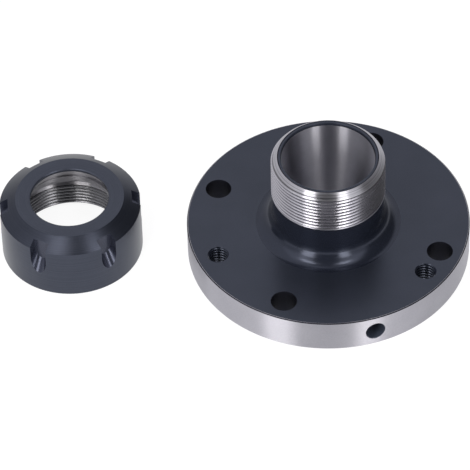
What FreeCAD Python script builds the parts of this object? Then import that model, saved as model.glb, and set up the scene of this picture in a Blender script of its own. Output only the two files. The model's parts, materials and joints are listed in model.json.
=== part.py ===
import FreeCAD, Part
import math
import os
import Sketcher

# Collet chuck for a lathe spindle: a one-piece body turned from a flanged bar,
# and the clamping nut that screws on its nose, shown taken off beside it.
# Lengths are in millimetres and angles in degrees. Z is the chuck's axis, and
# Z = 0 is the flange's rear face, which also is the surface that both stand on.

document = FreeCAD.newDocument("collet_chuck")

# Driving dimensions

SIZES = [
    # flange
    ("flange_diameter", 100.0),
    ("flange_thickness", 13.0),
    ("front_edge_chamfer", 0.3),
    ("rear_edge_chamfer", 0.5),
    # recess that centres the chuck on the spindle's flange, inside the bolt holes
    ("register_land", 1.2),
    ("register_depth", 3.5),
    ("register_chamfer", 0.5),
    # neck between the flange and the thread, turned a little below the thread
    ("neck_relief", 0.4),
    ("neck_length", 15.0),
    ("neck_fillet", 6.0),
    # nose thread, cut as its plain major diameter
    ("thread_diameter", 40.0),
    ("thread_pitch", 1.5),
    ("thread_length", 16.7),
    ("nose_chamfer", 2.1),
    # tapered collet socket, from a narrow land at the nose to the bore behind it
    ("nose_land", 1.4),
    ("socket_half_angle", 8.0),
    ("socket_depth", 33.0),
    ("socket_step", 0.36),
    # clearance holes for bolts put in from the front
    ("bolt_edge", 8.0),
    ("bolt_hole", 9.0),
    ("bolt_count", 4),
    ("bolt_angle", 66.4),
    ("bolt_rim_chamfer", 0.3),
    # tapped holes for screws put in from the rear, on the same circle
    ("tapped_hole", 6.8),
    ("tapped_rim_chamfer", 0.6),
    ("tapped_count", 3),
    ("tapped_lead", 15.0),
    # blind hole in the rim for a tommy bar
    ("bar_hole", 7.0),
    ("bar_hole_depth", 12.0),
    ("bar_hole_lead", 40.6),
    # clamping nut, outside
    ("nut_wall", 5.0),
    ("nut_length", 23.7),
    ("nut_cone_width", 5.8),
    ("nut_cone_length", 3.5),
    ("nut_rear_chamfer", 0.5),
    # clamping nut, inside, from the front
    ("nut_mouth", 27.6),
    ("nut_mouth_chamfer", 0.3),
    ("nut_mouth_length", 1.1),
    ("nut_seat_diameter", 32.6),
    ("nut_seat_half_angle", 30.0),
    ("extractor_bore", 31.4),
    ("extractor_offset", 0.7),
    ("extractor_width", 1.6),
    ("relief_clearance", 0.4),
    ("nut_thread_length", 10.2),
    ("nut_entry", 0.5),
    # six spanner slots
    ("slot_count", 6),
    ("slot_width", 5.9),
    ("slot_depth", 3.1),
    ("slot_end_height", 9.2),
    ("slot_end_slope", 34.0),
    # where the nut stands
    ("nut_gap", 16.0),
    ("nut_aside", 4.4),
    ("nut_turned", 3.3),
]

sheet = document.addObject("Spreadsheet::Sheet", "Sizes")
for row, (alias, value) in enumerate(SIZES, start=1):
    sheet.set(f"A{row}", alias.replace("_", " "))
    sheet.set(f"B{row}", str(value))
    sheet.setAlias(f"B{row}", alias)
document.recompute()

# Heights and radii that several features share, as sheet expressions

FLANGE_R = "Sizes.flange_diameter / 2"
FLANGE_TOP = "Sizes.flange_thickness"
BOLT_R = "(Sizes.flange_diameter / 2 - Sizes.bolt_edge)"
BOLT_RIM = "(Sizes.bolt_hole + 2 * Sizes.bolt_rim_chamfer)"
TAPPED_RIM = "(Sizes.tapped_hole + 2 * Sizes.tapped_rim_chamfer)"
TAPPED_ANGLE = "(Sizes.bolt_angle + Sizes.tapped_lead)"
BAR_ANGLE = "(Sizes.bolt_angle + 180 + Sizes.bar_hole_lead)"
REGISTER_R = "(" + BOLT_R + " - " + BOLT_RIM + " / 2 - Sizes.register_land)"

THREAD_R = "Sizes.thread_diameter / 2"
NECK_R = "(Sizes.thread_diameter / 2 - Sizes.neck_relief)"
NOSE_R = "(Sizes.thread_diameter / 2 - Sizes.nose_chamfer)"
MOUTH_R = "(" + NOSE_R + " - Sizes.nose_land)"
THREAD_BASE = "Sizes.flange_thickness + Sizes.neck_length"
NOSE_TOP = THREAD_BASE + " + Sizes.thread_length"
SOCKET_END = "(" + NOSE_TOP + " - Sizes.socket_depth)"
SOCKET_END_R = "(" + MOUTH_R + " - Sizes.socket_depth * tan(Sizes.socket_half_angle * 1 deg))"
BORE_R = "(" + SOCKET_END_R + " - Sizes.socket_step)"

NUT_R = "(Sizes.thread_diameter / 2 + Sizes.nut_wall)"
NUT_FACE_R = "(" + NUT_R + " - Sizes.nut_cone_width)"
NUT_TOP = "Sizes.nut_length"
NUT_MINOR_R = "(Sizes.thread_diameter / 2 - 0.541266 * Sizes.thread_pitch)"
NUT_RELIEF_R = "(Sizes.thread_diameter / 2 + Sizes.relief_clearance)"
MOUTH_LOW = "Sizes.nut_length - Sizes.nut_mouth_length"
SEAT_LENGTH = "(Sizes.nut_seat_diameter - Sizes.nut_mouth) / 2 / tan(Sizes.nut_seat_half_angle * 1 deg)"
SEAT_LOW = MOUTH_LOW + " - " + SEAT_LENGTH
EXTRACTOR_LOW = SEAT_LOW + " - Sizes.extractor_width"


def number(expression):
    """Value of a sheet expression, for a sketch's first guess and for checks."""
    probe = document.getObject("Probe")
    if probe is None:
        probe = document.addObject("App::FeaturePython", "Probe")
        probe.addProperty("App::PropertyFloat", "Value")
    probe.setExpression("Value", expression)
    probe.recompute()
    return probe.Value


def new_body(name):
    body = document.addObject("PartDesign::Body", name)
    body.Label = name
    return body


def origin_feature(body, role):
    return next(item for item in body.Origin.OriginFeatures if item.Role == role)


def sketch_on(body, name, role):
    sketch = body.newObject("Sketcher::SketchObject", name)
    sketch.AttachmentSupport = [(origin_feature(body, role), "")]
    sketch.MapMode = "FlatFace"
    return sketch


def fix(sketch, kind, name, expression, *where):
    """A dimension of the sketch, named and driven by the sheet."""
    value = number(expression)
    if kind == "Angle":
        value = math.radians(value)
    index = sketch.addConstraint(Sketcher.Constraint(kind, *where, value))
    sketch.renameConstraint(index, name)
    if kind == "Angle":
        expression = "(" + expression + ") * 1 deg"
    sketch.setExpression("Constraints." + name, expression)


def outline(sketch, corners):
    """Closed outline of straight lines through the named corners.

    Each corner is a name, its two coordinates as sheet expressions and, for a
    rounded one, the radius. Lines that join corners of equal coordinate are
    held horizontal or vertical, so that each coordinate is stated only once.
    """
    count = len(corners)
    spots = [FreeCAD.Vector(number(x), number(y), 0) for _, x, y, *_ in corners]
    lines = []
    for index in range(count):
        following = (index + 1) % count
        start, end = FreeCAD.Vector(spots[index]), FreeCAD.Vector(spots[following])
        along = (end - start).normalize()
        if len(corners[index]) > 3:
            start = start + along * number(corners[index][3])
        if len(corners[following]) > 3:
            end = end - along * number(corners[following][3])
        lines.append(sketch.addGeometry(Part.LineSegment(start, end), False))

    for index, line in enumerate(lines):
        corner, following = corners[index], corners[(index + 1) % count]
        if corner[1] == following[1]:
            sketch.addConstraint(Sketcher.Constraint("Vertical", line))
        if corner[2] == following[2]:
            sketch.addConstraint(Sketcher.Constraint("Horizontal", line))

    for index, corner in enumerate(corners):
        before, after = lines[index - 1], lines[index]
        if len(corner) > 3:
            round_corner(sketch, corner, spots[index], before, after)
            continue
        sketch.addConstraint(Sketcher.Constraint("Coincident", before, 2, after, 1))

    for index, corner in enumerate(corners):
        if len(corner) > 3:
            continue
        previous, following = corners[index - 1], corners[(index + 1) % count]
        for axis, kind in ((1, "DistanceX"), (2, "DistanceY")):
            told_before = corner[axis] == previous[axis] and len(previous) == 3 and index > 0
            told_first = corner[axis] == following[axis] and index == count - 1
            if told_before or told_first:
                continue
            if corner[axis] == "0":
                sketch.addConstraint(Sketcher.Constraint("PointOnObject", lines[index], 1, -axis_of(kind)))
            else:
                name = corner[0] + ("_x" if axis == 1 else "_y")
                fix(sketch, kind, name, corner[axis], -1, 1, lines[index], 1)


def axis_of(kind):
    """Number of the sketch axis on which a coordinate is zero."""
    return 2 if kind == "DistanceX" else 1


def round_corner(sketch, corner, spot, before, after):
    """Tangent arc in place of a corner."""
    radius = number(corner[3])
    first = sketch.getPoint(before, 2)
    last = sketch.getPoint(after, 1)
    centre = first + last - spot
    middle = centre + (spot - centre).normalize() * radius
    arc = sketch.addGeometry(Part.Arc(first, middle, last), False)
    start_is_first = (sketch.getPoint(arc, 1) - first).Length < 1e-6
    near, far = (1, 2) if start_is_first else (2, 1)
    sketch.addConstraint(Sketcher.Constraint("Tangent", arc, near, before, 2))
    sketch.addConstraint(Sketcher.Constraint("Tangent", arc, far, after, 1))
    fix(sketch, "Radius", corner[0] + "_radius", corner[3], arc)


def revolved(body, name, corners):
    """Solid turned about Z from an outline in the XZ plane."""
    sketch = sketch_on(body, name + "_outline", "XZ_Plane")
    outline(sketch, corners)
    turned = body.newObject("PartDesign::Revolution", name)
    turned.Profile = sketch
    turned.ReferenceAxis = (sketch, ["V_Axis"])
    turned.Angle = 360
    document.recompute()
    return turned


def around(body, name, feature, count):
    """Feature repeated round the body's axis."""
    pattern = body.newObject("PartDesign::PolarPattern", name)
    pattern.Originals = [feature]
    pattern.Axis = (origin_feature(body, "Z_Axis"), [""])
    pattern.Angle = 360
    body.Tip = pattern
    pattern.setExpression("Occurrences", count)
    document.recompute()
    return pattern


def circle_at(sketch, name, diameter, distance=None, angle=None):
    """Circle in a sketch, placed from its origin by a distance and an angle."""
    if distance is None:
        centre = FreeCAD.Vector(0, 0, 0)
    else:
        turn = math.radians(number(angle))
        centre = FreeCAD.Vector(math.cos(turn), math.sin(turn), 0) * number(distance)
    circle = sketch.addGeometry(Part.Circle(centre, FreeCAD.Vector(0, 0, 1), number(diameter) / 2), False)
    fix(sketch, "Diameter", name + "_size", diameter, circle)
    if distance is None:
        sketch.addConstraint(Sketcher.Constraint("Coincident", circle, 3, -1, 1))
        return
    arm = sketch.addGeometry(Part.LineSegment(FreeCAD.Vector(0, 0, 0), centre), True)
    sketch.addConstraint(Sketcher.Constraint("Coincident", arm, 1, -1, 1))
    sketch.addConstraint(Sketcher.Constraint("Coincident", arm, 2, circle, 3))
    fix(sketch, "Distance", name + "_distance", distance, arm)
    fix(sketch, "Angle", name + "_angle", angle, -1, 1, arm, 1)


def drilled(body, name, sketch, diameter, rim=None, depth=None):
    """Drilled hole, through or to a depth, with a countersunk rim if asked."""
    hole = body.newObject("PartDesign::Hole", name)
    hole.Profile = sketch
    hole.Threaded = False
    hole.setExpression("Diameter", diameter)
    if depth is None:
        hole.DepthType = "ThroughAll"
    else:
        hole.DepthType = "Dimension"
        hole.setExpression("Depth", depth)
        hole.DrillPoint = "Angled"
        hole.DrillPointAngle = 118
    if rim is not None:
        hole.HoleCutType = "Countersink"
        hole.HoleCutCountersinkAngle = 90
        hole.setExpression("HoleCutDiameter", rim)
    document.recompute()
    return hole


def make_chuck_body():
    """Flange, neck, threaded nose, tapered socket and rear register in one piece."""
    body = new_body("chuck_body")
    revolved(body, "turned_body", [
        ("rear_inner", REGISTER_R + " + Sizes.register_chamfer", "0"),
        ("rear_outer", FLANGE_R + " - Sizes.rear_edge_chamfer", "0"),
        ("rim_low", FLANGE_R, "Sizes.rear_edge_chamfer"),
        ("rim_high", FLANGE_R, FLANGE_TOP + " - Sizes.front_edge_chamfer"),
        ("face_outer", FLANGE_R + " - Sizes.front_edge_chamfer", FLANGE_TOP),
        ("neck_root", NECK_R, FLANGE_TOP, "Sizes.neck_fillet"),
        ("neck_top", NECK_R, THREAD_BASE),
        ("thread_low", THREAD_R, THREAD_BASE),
        ("thread_high", THREAD_R, NOSE_TOP + " - Sizes.nose_chamfer"),
        ("nose_outer", NOSE_R, NOSE_TOP),
        ("mouth", MOUTH_R, NOSE_TOP),
        ("socket_end", SOCKET_END_R, SOCKET_END),
        ("bore_top", BORE_R, SOCKET_END),
        ("bore_low", BORE_R, "Sizes.register_depth"),
        ("register_floor", REGISTER_R, "Sizes.register_depth"),
        ("register_mouth", REGISTER_R, "Sizes.register_chamfer"),
    ])

    seat = sketch_on(body, "bolt_hole_place", "XY_Plane")
    seat.setExpression("AttachmentOffset.Base.z", FLANGE_TOP)
    circle_at(seat, "bolt_hole", "Sizes.bolt_hole", BOLT_R, "Sizes.bolt_angle")
    hole = drilled(body, "bolt_hole_first", seat, "Sizes.bolt_hole", BOLT_RIM)
    around(body, "bolt_holes", hole, "Sizes.bolt_count")

    seat = sketch_on(body, "tapped_hole_place", "XY_Plane")
    seat.setExpression("AttachmentOffset.Base.z", FLANGE_TOP)
    circle_at(seat, "tapped_hole", "Sizes.tapped_hole", BOLT_R, TAPPED_ANGLE)
    hole = drilled(body, "tapped_hole_first", seat, "Sizes.tapped_hole", TAPPED_RIM)
    around(body, "tapped_holes", hole, "Sizes.tapped_count")

    # The rim's hole starts on a plane that touches the rim at the hole's angle
    seat = sketch_on(body, "bar_hole_place", "XZ_Plane")
    turn = "(" + BAR_ANGLE + " - 270) * 1 deg"
    seat.AttachmentOffset = FreeCAD.Placement(
        FreeCAD.Vector(0, 0, 0), FreeCAD.Rotation(FreeCAD.Vector(0, 1, 0), 1))
    seat.setExpression("AttachmentOffset.Rotation.Angle", turn)
    seat.setExpression("AttachmentOffset.Base.x", FLANGE_R + " * sin(" + turn + ")")
    seat.setExpression("AttachmentOffset.Base.y", FLANGE_TOP + " / 2")
    seat.setExpression("AttachmentOffset.Base.z", FLANGE_R + " * cos(" + turn + ")")
    circle_at(seat, "bar_hole", "Sizes.bar_hole")
    drilled(body, "bar_hole_drilled", seat, "Sizes.bar_hole", depth="Sizes.bar_hole_depth")
    return body


def make_clamping_nut():
    """Round nut with a collet seat, an eccentric extractor ring and six spanner slots."""
    body = new_body("clamping_nut")
    revolved(body, "turned_nut", [
        ("base_inner", THREAD_R + " + Sizes.nut_entry", "0"),
        ("base_outer", NUT_R + " - Sizes.nut_rear_chamfer", "0"),
        ("side_low", NUT_R, "Sizes.nut_rear_chamfer"),
        ("side_high", NUT_R, NUT_TOP + " - Sizes.nut_cone_length"),
        ("face_outer", NUT_FACE_R, NUT_TOP),
        ("face_inner", "Sizes.nut_mouth / 2 + Sizes.nut_mouth_chamfer", NUT_TOP),
        ("mouth_high", "Sizes.nut_mouth / 2", NUT_TOP + " - Sizes.nut_mouth_chamfer"),
        ("mouth_low", "Sizes.nut_mouth / 2", MOUTH_LOW),
        ("seat_low", "Sizes.nut_seat_diameter / 2", SEAT_LOW),
        ("extractor_high", "Sizes.extractor_bore / 2 - Sizes.extractor_offset", SEAT_LOW),
        ("extractor_low", "Sizes.extractor_bore / 2 - Sizes.extractor_offset", EXTRACTOR_LOW),
        ("relief_high", NUT_RELIEF_R, EXTRACTOR_LOW),
        ("relief_low", NUT_RELIEF_R, "Sizes.nut_thread_length"),
        ("thread_high", NUT_MINOR_R, "Sizes.nut_thread_length"),
        ("thread_low", NUT_MINOR_R, THREAD_R + " + Sizes.nut_entry - " + NUT_MINOR_R),
    ])

    # The ring's opening is bored off centre, so one side hooks the collet's groove
    ring = sketch_on(body, "extractor_circle", "XY_Plane")
    ring.setExpression("AttachmentOffset.Base.z", SEAT_LOW)
    circle_at(ring, "extractor", "Sizes.extractor_bore", "Sizes.extractor_offset", "180")
    bored = body.newObject("PartDesign::Pocket", "extractor_ring")
    bored.Profile = ring
    bored.setExpression("Length", "Sizes.extractor_width")
    document.recompute()

    # Each slot has a flat floor along the axis and a rounded end that runs out
    # on a slope. Its U-shaped section lies square to that slope, and is cut
    # upwards and inwards as far as the floor.
    floor = body.newObject("PartDesign::Plane", "slot_floor")
    floor.AttachmentSupport = [(origin_feature(body, "YZ_Plane"), "")]
    floor.MapMode = "FlatFace"
    floor.setExpression("AttachmentOffset.Base.z", NUT_R + " - Sizes.slot_depth")

    section = sketch_on(body, "slot_section", "XY_Plane")
    section.AttachmentOffset = FreeCAD.Placement(
        FreeCAD.Vector(0, 0, 0), FreeCAD.Rotation(FreeCAD.Vector(0, 1, 0), 1))
    section.setExpression("AttachmentOffset.Rotation.Angle", "(180 - Sizes.slot_end_slope) * 1 deg")
    section.setExpression("AttachmentOffset.Base.x",
                          NUT_R + " + Sizes.slot_width * sin(Sizes.slot_end_slope * 1 deg)")
    section.setExpression("AttachmentOffset.Base.z",
                          "Sizes.slot_end_height - Sizes.slot_width * cos(Sizes.slot_end_slope * 1 deg)")
    slot_u(section)
    slot = body.newObject("PartDesign::Pocket", "slot_first")
    slot.Profile = section
    slot.Type = "UpToFace"
    slot.UpToFace = (floor, [""])
    document.recompute()
    around(body, "slots", slot, "Sizes.slot_count")
    return body


def slot_u(sketch):
    """U whose round end touches the sketch's origin and which opens towards -X."""
    half = number("Sizes.slot_width") / 2
    reach = number(NUT_TOP)
    up, down = FreeCAD.Vector(-half, half, 0), FreeCAD.Vector(-half, -half, 0)
    far_up, far_down = FreeCAD.Vector(-reach, half, 0), FreeCAD.Vector(-reach, -half, 0)
    end = sketch.addGeometry(Part.Arc(down, FreeCAD.Vector(0, 0, 0), up), False)
    upper = sketch.addGeometry(Part.LineSegment(up, far_up), False)
    back = sketch.addGeometry(Part.LineSegment(far_up, far_down), False)
    lower = sketch.addGeometry(Part.LineSegment(far_down, down), False)
    sketch.addConstraint(Sketcher.Constraint("Tangent", end, 2, upper, 1))
    sketch.addConstraint(Sketcher.Constraint("Tangent", end, 1, lower, 2))
    sketch.addConstraint(Sketcher.Constraint("Coincident", upper, 2, back, 1))
    sketch.addConstraint(Sketcher.Constraint("Coincident", back, 2, lower, 1))
    sketch.addConstraint(Sketcher.Constraint("Horizontal", upper))
    sketch.addConstraint(Sketcher.Constraint("Horizontal", lower))
    sketch.addConstraint(Sketcher.Constraint("Vertical", back))
    sketch.addConstraint(Sketcher.Constraint("PointOnObject", end, 3, -1))
    fix(sketch, "DistanceX", "round_centre", "Sizes.slot_width / 2", end, 3, -1, 1)
    fix(sketch, "Radius", "round_radius", "Sizes.slot_width / 2", end)
    fix(sketch, "DistanceX", "reach", NUT_TOP, back, 1, -1, 1)


chuck_body = make_chuck_body()
clamping_nut = make_clamping_nut()

# The nut stands beside the flange on the same surface, turned as it was put down
clamping_nut.Placement = FreeCAD.Placement(
    FreeCAD.Vector(0, 0, 0), FreeCAD.Rotation(FreeCAD.Vector(0, 0, 1), 1))
clamping_nut.setExpression("Placement.Base.x", "-(" + FLANGE_R + " + Sizes.nut_gap + " + NUT_R + ")")
clamping_nut.setExpression("Placement.Base.y", "Sizes.nut_aside")
clamping_nut.setExpression("Placement.Rotation.Angle", "Sizes.nut_turned * 1 deg")
document.removeObject("Probe")
document.recompute()

# Checks and export

for item in document.Objects:
    faults = [state for state in item.State if state in ("Invalid", "Error")]
    if faults:
        raise RuntimeError(item.Name + " is in state " + ", ".join(faults))

os.makedirs("parts", exist_ok=True)
for body in (chuck_body, clamping_nut):
    shape = body.Shape
    if shape.isNull() or not shape.isValid() or len(shape.Solids) != 1:
        raise RuntimeError(body.Label + " is not one valid solid")
    shape.exportStep("parts/" + body.Label + ".step")
    box = shape.BoundBox
    print(body.Label, "volume", round(shape.Volume, 1), "faces", len(shape.Faces),
          "x", round(box.XMin, 2), round(box.XMax, 2),
          "y", round(box.YMin, 2), round(box.YMax, 2),
          "z", round(box.ZMin, 2), round(box.ZMax, 2))
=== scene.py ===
# %% [markdown]
# # A collet chuck in blacked and bare steel
# The real thing is two turned parts: a flanged body with a threaded nose, and the
# clamping nut that screws on it, here taken off. Both come from bar stock on a lathe,
# were blacked all over in a hot bath, and then had some surfaces cut bright again.
# The lesson follows the workshop: turn the blank, drill and mill what repeats, cut the
# threads, then give every surface its finish and put both parts under soft lights.

# %% Load the frame
import json
import math

import bmesh
import bpy
from mathutils import Matrix, Vector


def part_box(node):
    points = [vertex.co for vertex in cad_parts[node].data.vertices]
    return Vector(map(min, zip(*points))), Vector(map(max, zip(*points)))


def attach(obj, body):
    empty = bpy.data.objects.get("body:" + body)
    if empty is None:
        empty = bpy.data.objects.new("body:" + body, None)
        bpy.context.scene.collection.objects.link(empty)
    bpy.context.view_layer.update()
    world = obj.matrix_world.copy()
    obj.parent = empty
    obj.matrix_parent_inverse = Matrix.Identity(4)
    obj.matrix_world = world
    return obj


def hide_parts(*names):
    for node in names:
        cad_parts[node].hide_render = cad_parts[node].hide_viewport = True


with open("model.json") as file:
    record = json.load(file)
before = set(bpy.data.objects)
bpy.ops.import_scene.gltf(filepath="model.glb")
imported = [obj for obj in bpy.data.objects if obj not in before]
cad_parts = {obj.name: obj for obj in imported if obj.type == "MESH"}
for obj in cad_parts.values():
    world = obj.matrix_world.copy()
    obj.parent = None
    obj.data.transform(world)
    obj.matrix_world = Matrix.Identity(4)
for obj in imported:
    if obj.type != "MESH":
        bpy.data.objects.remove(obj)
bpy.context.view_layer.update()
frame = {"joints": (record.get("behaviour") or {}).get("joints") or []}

scene = bpy.context.scene
MM = 0.001

# %% [markdown]
# ## Sizes
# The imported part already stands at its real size, so overall sizes are read from it.
# What a box can't tell, such as a thread's pitch, is written here once, in millimetres,
# with angles in degrees. A name that ends in R is a radius. An edge is a small chamfer,
# and a rim is the wide end of a hole's countersink. The collar is the plain ring under
# the nose's thread, and the groove above it is where the thread's tool runs out.

# %% Sizes read from the frame
body_low, body_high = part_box("chuck_body")
FLANGE_R = (body_high.x - body_low.x) / 2 / MM
NOSE_TOP = body_high.z / MM
NUT_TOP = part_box("clamping_nut")[1].z / MM
hinge = frame["joints"][0]["pos_m"]
NUT_AXIS = Vector((hinge[0], hinge[1], 0)) / MM
BODY_AXIS = Vector((0, 0, 0))
print("flange radius", round(FLANGE_R, 2), "nose", round(NOSE_TOP, 2), "nut at", NUT_AXIS)

# %% Sizes of the chuck's body
FLANGE_TOP, REAR_EDGE, FRONT_EDGE = 13.0, 0.5, 0.3
REGISTER_R, REGISTER_DEPTH = 36.0, 3.5
NECK_R, NECK_FILLET = 19.6, 6.0
THREAD_R, THREAD_PITCH, THREAD_BASE = 20.0, 1.5, 28.0
COLLAR_LOW, COLLAR_HIGH = THREAD_BASE + 0.4, THREAD_BASE + 0.5
GROOVE_DEPTH, GROOVE_LOW, GROOVE_HIGH = 0.25, THREAD_BASE + 0.65, THREAD_BASE + 0.9
GROOVE_END = THREAD_BASE + 1.1
NOSE_CHAMFER, NOSE_LAND = 2.1, 1.4
LAND_R = THREAD_R - NOSE_CHAMFER
MOUTH_R = LAND_R - NOSE_LAND
SOCKET_DEPTH, SOCKET_TAPER = 33.0, math.tan(math.radians(8))
LEAD_WIDTH, LEAD_DEPTH, LEAD_END = 0.15, 1.0, 1.3
BORE_R = 11.5
print("collar and run-out groove between", THREAD_BASE, "and", GROOVE_END)

# %% Sizes of the holes in the flange
HOLE_CIRCLE_R = 42.0
BOLT_HOLE_R, BOLT_RIM_R, BOLT_COUNT, BOLT_ANGLE = 4.5, 4.58, 4, 66.4
SCREW_R, SCREW_BORE_R, SCREW_RIM_R, SCREW_PITCH = 4.0, 3.4, 3.65, 1.25
SCREW_COUNT, SCREW_ANGLE = 3, 81.4
BAR_HOLE_R, BAR_RIM_R, BAR_HOLE_DEPTH, BAR_HOLE_ANGLE = 3.5, 3.75, 12.0, 287.0
print(BOLT_COUNT, "bolt holes and", SCREW_COUNT, "tapped holes on radius", HOLE_CIRCLE_R)

# %% Sizes of the clamping nut
DEPTH_PER_PITCH = 0.541266
NUT_R, NUT_CONE_WIDTH, NUT_CONE_LENGTH = 25.0, 5.8, 3.5
NUT_MOUTH_R, NUT_MOUTH_EDGE, NUT_MOUTH_LAND = 13.8, 0.3, 1.1
NUT_SEAT_R, NUT_SEAT_ANGLE = 16.3, math.radians(30)
EXTRACTOR_R, EXTRACTOR_OFFSET, EXTRACTOR_WIDTH = 15.7, 0.7, 1.6
NUT_RELIEF_R, NUT_THREAD_LENGTH, HALF_SLOPE = 20.4, 10.2, 0.6
NUT_BORE_R = THREAD_R - DEPTH_PER_PITCH * THREAD_PITCH
NUT_RIM_R = THREAD_R + 0.5
SLOT_WIDTH, SLOT_FLOOR_R, SLOT_END, SLOT_SLOPE = 5.9, 21.9, 9.2, math.radians(34)
SLOT_COUNT, NUT_TURNED = 6, 3.3
print("nut bore before threading", round(2 * NUT_BORE_R, 3), "mm")

# %% [markdown]
# ## Finishes
# Blacking is a thin skin of dark oxide. It keeps the tool marks under it, looks blue
# grey under white light, and turns pale at a low angle. Bare turned steel is covered in
# fine rings that lie round the axis. They spread each reflection across themselves, so
# a lamp becomes a tall bright band. An anisotropic shader does that without a million
# grooves, and the Tangent node's radial mode lays its grain round the part's own axis.
# Marks that several finishes share are built once, as groups.

# %% Helpers for node trees
def add_node(tree, kind, links=None, **settings):
    """Node with its properties set, and its inputs set or linked by name or number."""
    node = tree.nodes.new(kind)
    for name, value in settings.items():
        setattr(node, name, value)
    for key, value in (links or {}).items():
        socket = node.inputs[key]
        if isinstance(value, bpy.types.NodeSocket):
            tree.links.new(value, socket)
        else:
            socket.default_value = value
    return node


def math_node(tree, operation, first, second=0.0, third=None):
    """Output of a Math node."""
    links = {0: first, 1: second}
    if third is not None:
        links[2] = third
    return add_node(tree, "ShaderNodeMath", links, operation=operation).outputs[0]


def new_group(name, inputs, outputs):
    """Shader group with float or colour sockets, and its two end nodes."""
    group = bpy.data.node_groups.new(name, "ShaderNodeTree")
    for side, sockets in (("INPUT", inputs), ("OUTPUT", outputs)):
        for label, kind, value in sockets:
            socket = group.interface.new_socket(label, in_out=side, socket_type=kind)
            if value is not None:
                socket.default_value = value
    return group, group.nodes.new("NodeGroupInput"), group.nodes.new("NodeGroupOutput")


print("helpers ready")

# %% Group: rings left by the turning tool
def turning_marks_group():
    """Rings round the axis: fine lines that change along the radius and the height."""
    group, start, end = new_group(
        "Turning marks",
        [("Coordinate", "NodeSocketVector", None), ("Lines per mm", "NodeSocketFloat", 3.0)],
        [("Lines", "NodeSocketFloat", None), ("Radius in mm", "NodeSocketFloat", None)])
    parts = add_node(group, "ShaderNodeSeparateXYZ", {0: start.outputs["Coordinate"]})
    x_squared = math_node(group, "MULTIPLY", parts.outputs[0], parts.outputs[0])
    radius_squared = math_node(group, "MULTIPLY_ADD", parts.outputs[1], parts.outputs[1], x_squared)
    radius = math_node(group, "SQRT", radius_squared)
    travel = math_node(group, "ADD", radius, math_node(group, "MULTIPLY", parts.outputs[2], -0.83))
    place = math_node(group, "MULTIPLY", travel, 1 / MM)
    place = math_node(group, "MULTIPLY", place, start.outputs["Lines per mm"])
    noise = add_node(group, "ShaderNodeTexNoise", {"W": place, "Scale": 1.0, "Detail": 3.0},
                     noise_dimensions="1D")
    group.links.new(noise.outputs[0], end.inputs["Lines"])
    group.links.new(math_node(group, "MULTIPLY", radius, 1 / MM), end.inputs["Radius in mm"])
    return group


TURNING_MARKS = turning_marks_group()
print("group", TURNING_MARKS.name)

# %% Group: soft cloudiness of a blacked or handled surface
def mottling_group():
    """Two sizes of soft noise, for colour and roughness that are never quite even."""
    group, start, end = new_group(
        "Mottling",
        [("Coordinate", "NodeSocketVector", None), ("Patch mm", "NodeSocketFloat", 12.0)],
        [("Clouds", "NodeSocketFloat", None), ("Grain", "NodeSocketFloat", None)])
    scale = math_node(group, "DIVIDE", 1 / MM, start.outputs["Patch mm"])
    clouds = add_node(group, "ShaderNodeTexNoise",
                      {"Vector": start.outputs["Coordinate"], "Scale": scale, "Detail": 3.0})
    grain = add_node(group, "ShaderNodeTexNoise",
                     {"Vector": start.outputs["Coordinate"],
                      "Scale": math_node(group, "MULTIPLY", scale, 24.0), "Detail": 2.0})
    group.links.new(clouds.outputs[0], end.inputs["Clouds"])
    group.links.new(grain.outputs[0], end.inputs["Grain"])
    return group


MOTTLING = mottling_group()
print("group", MOTTLING.name)
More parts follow.
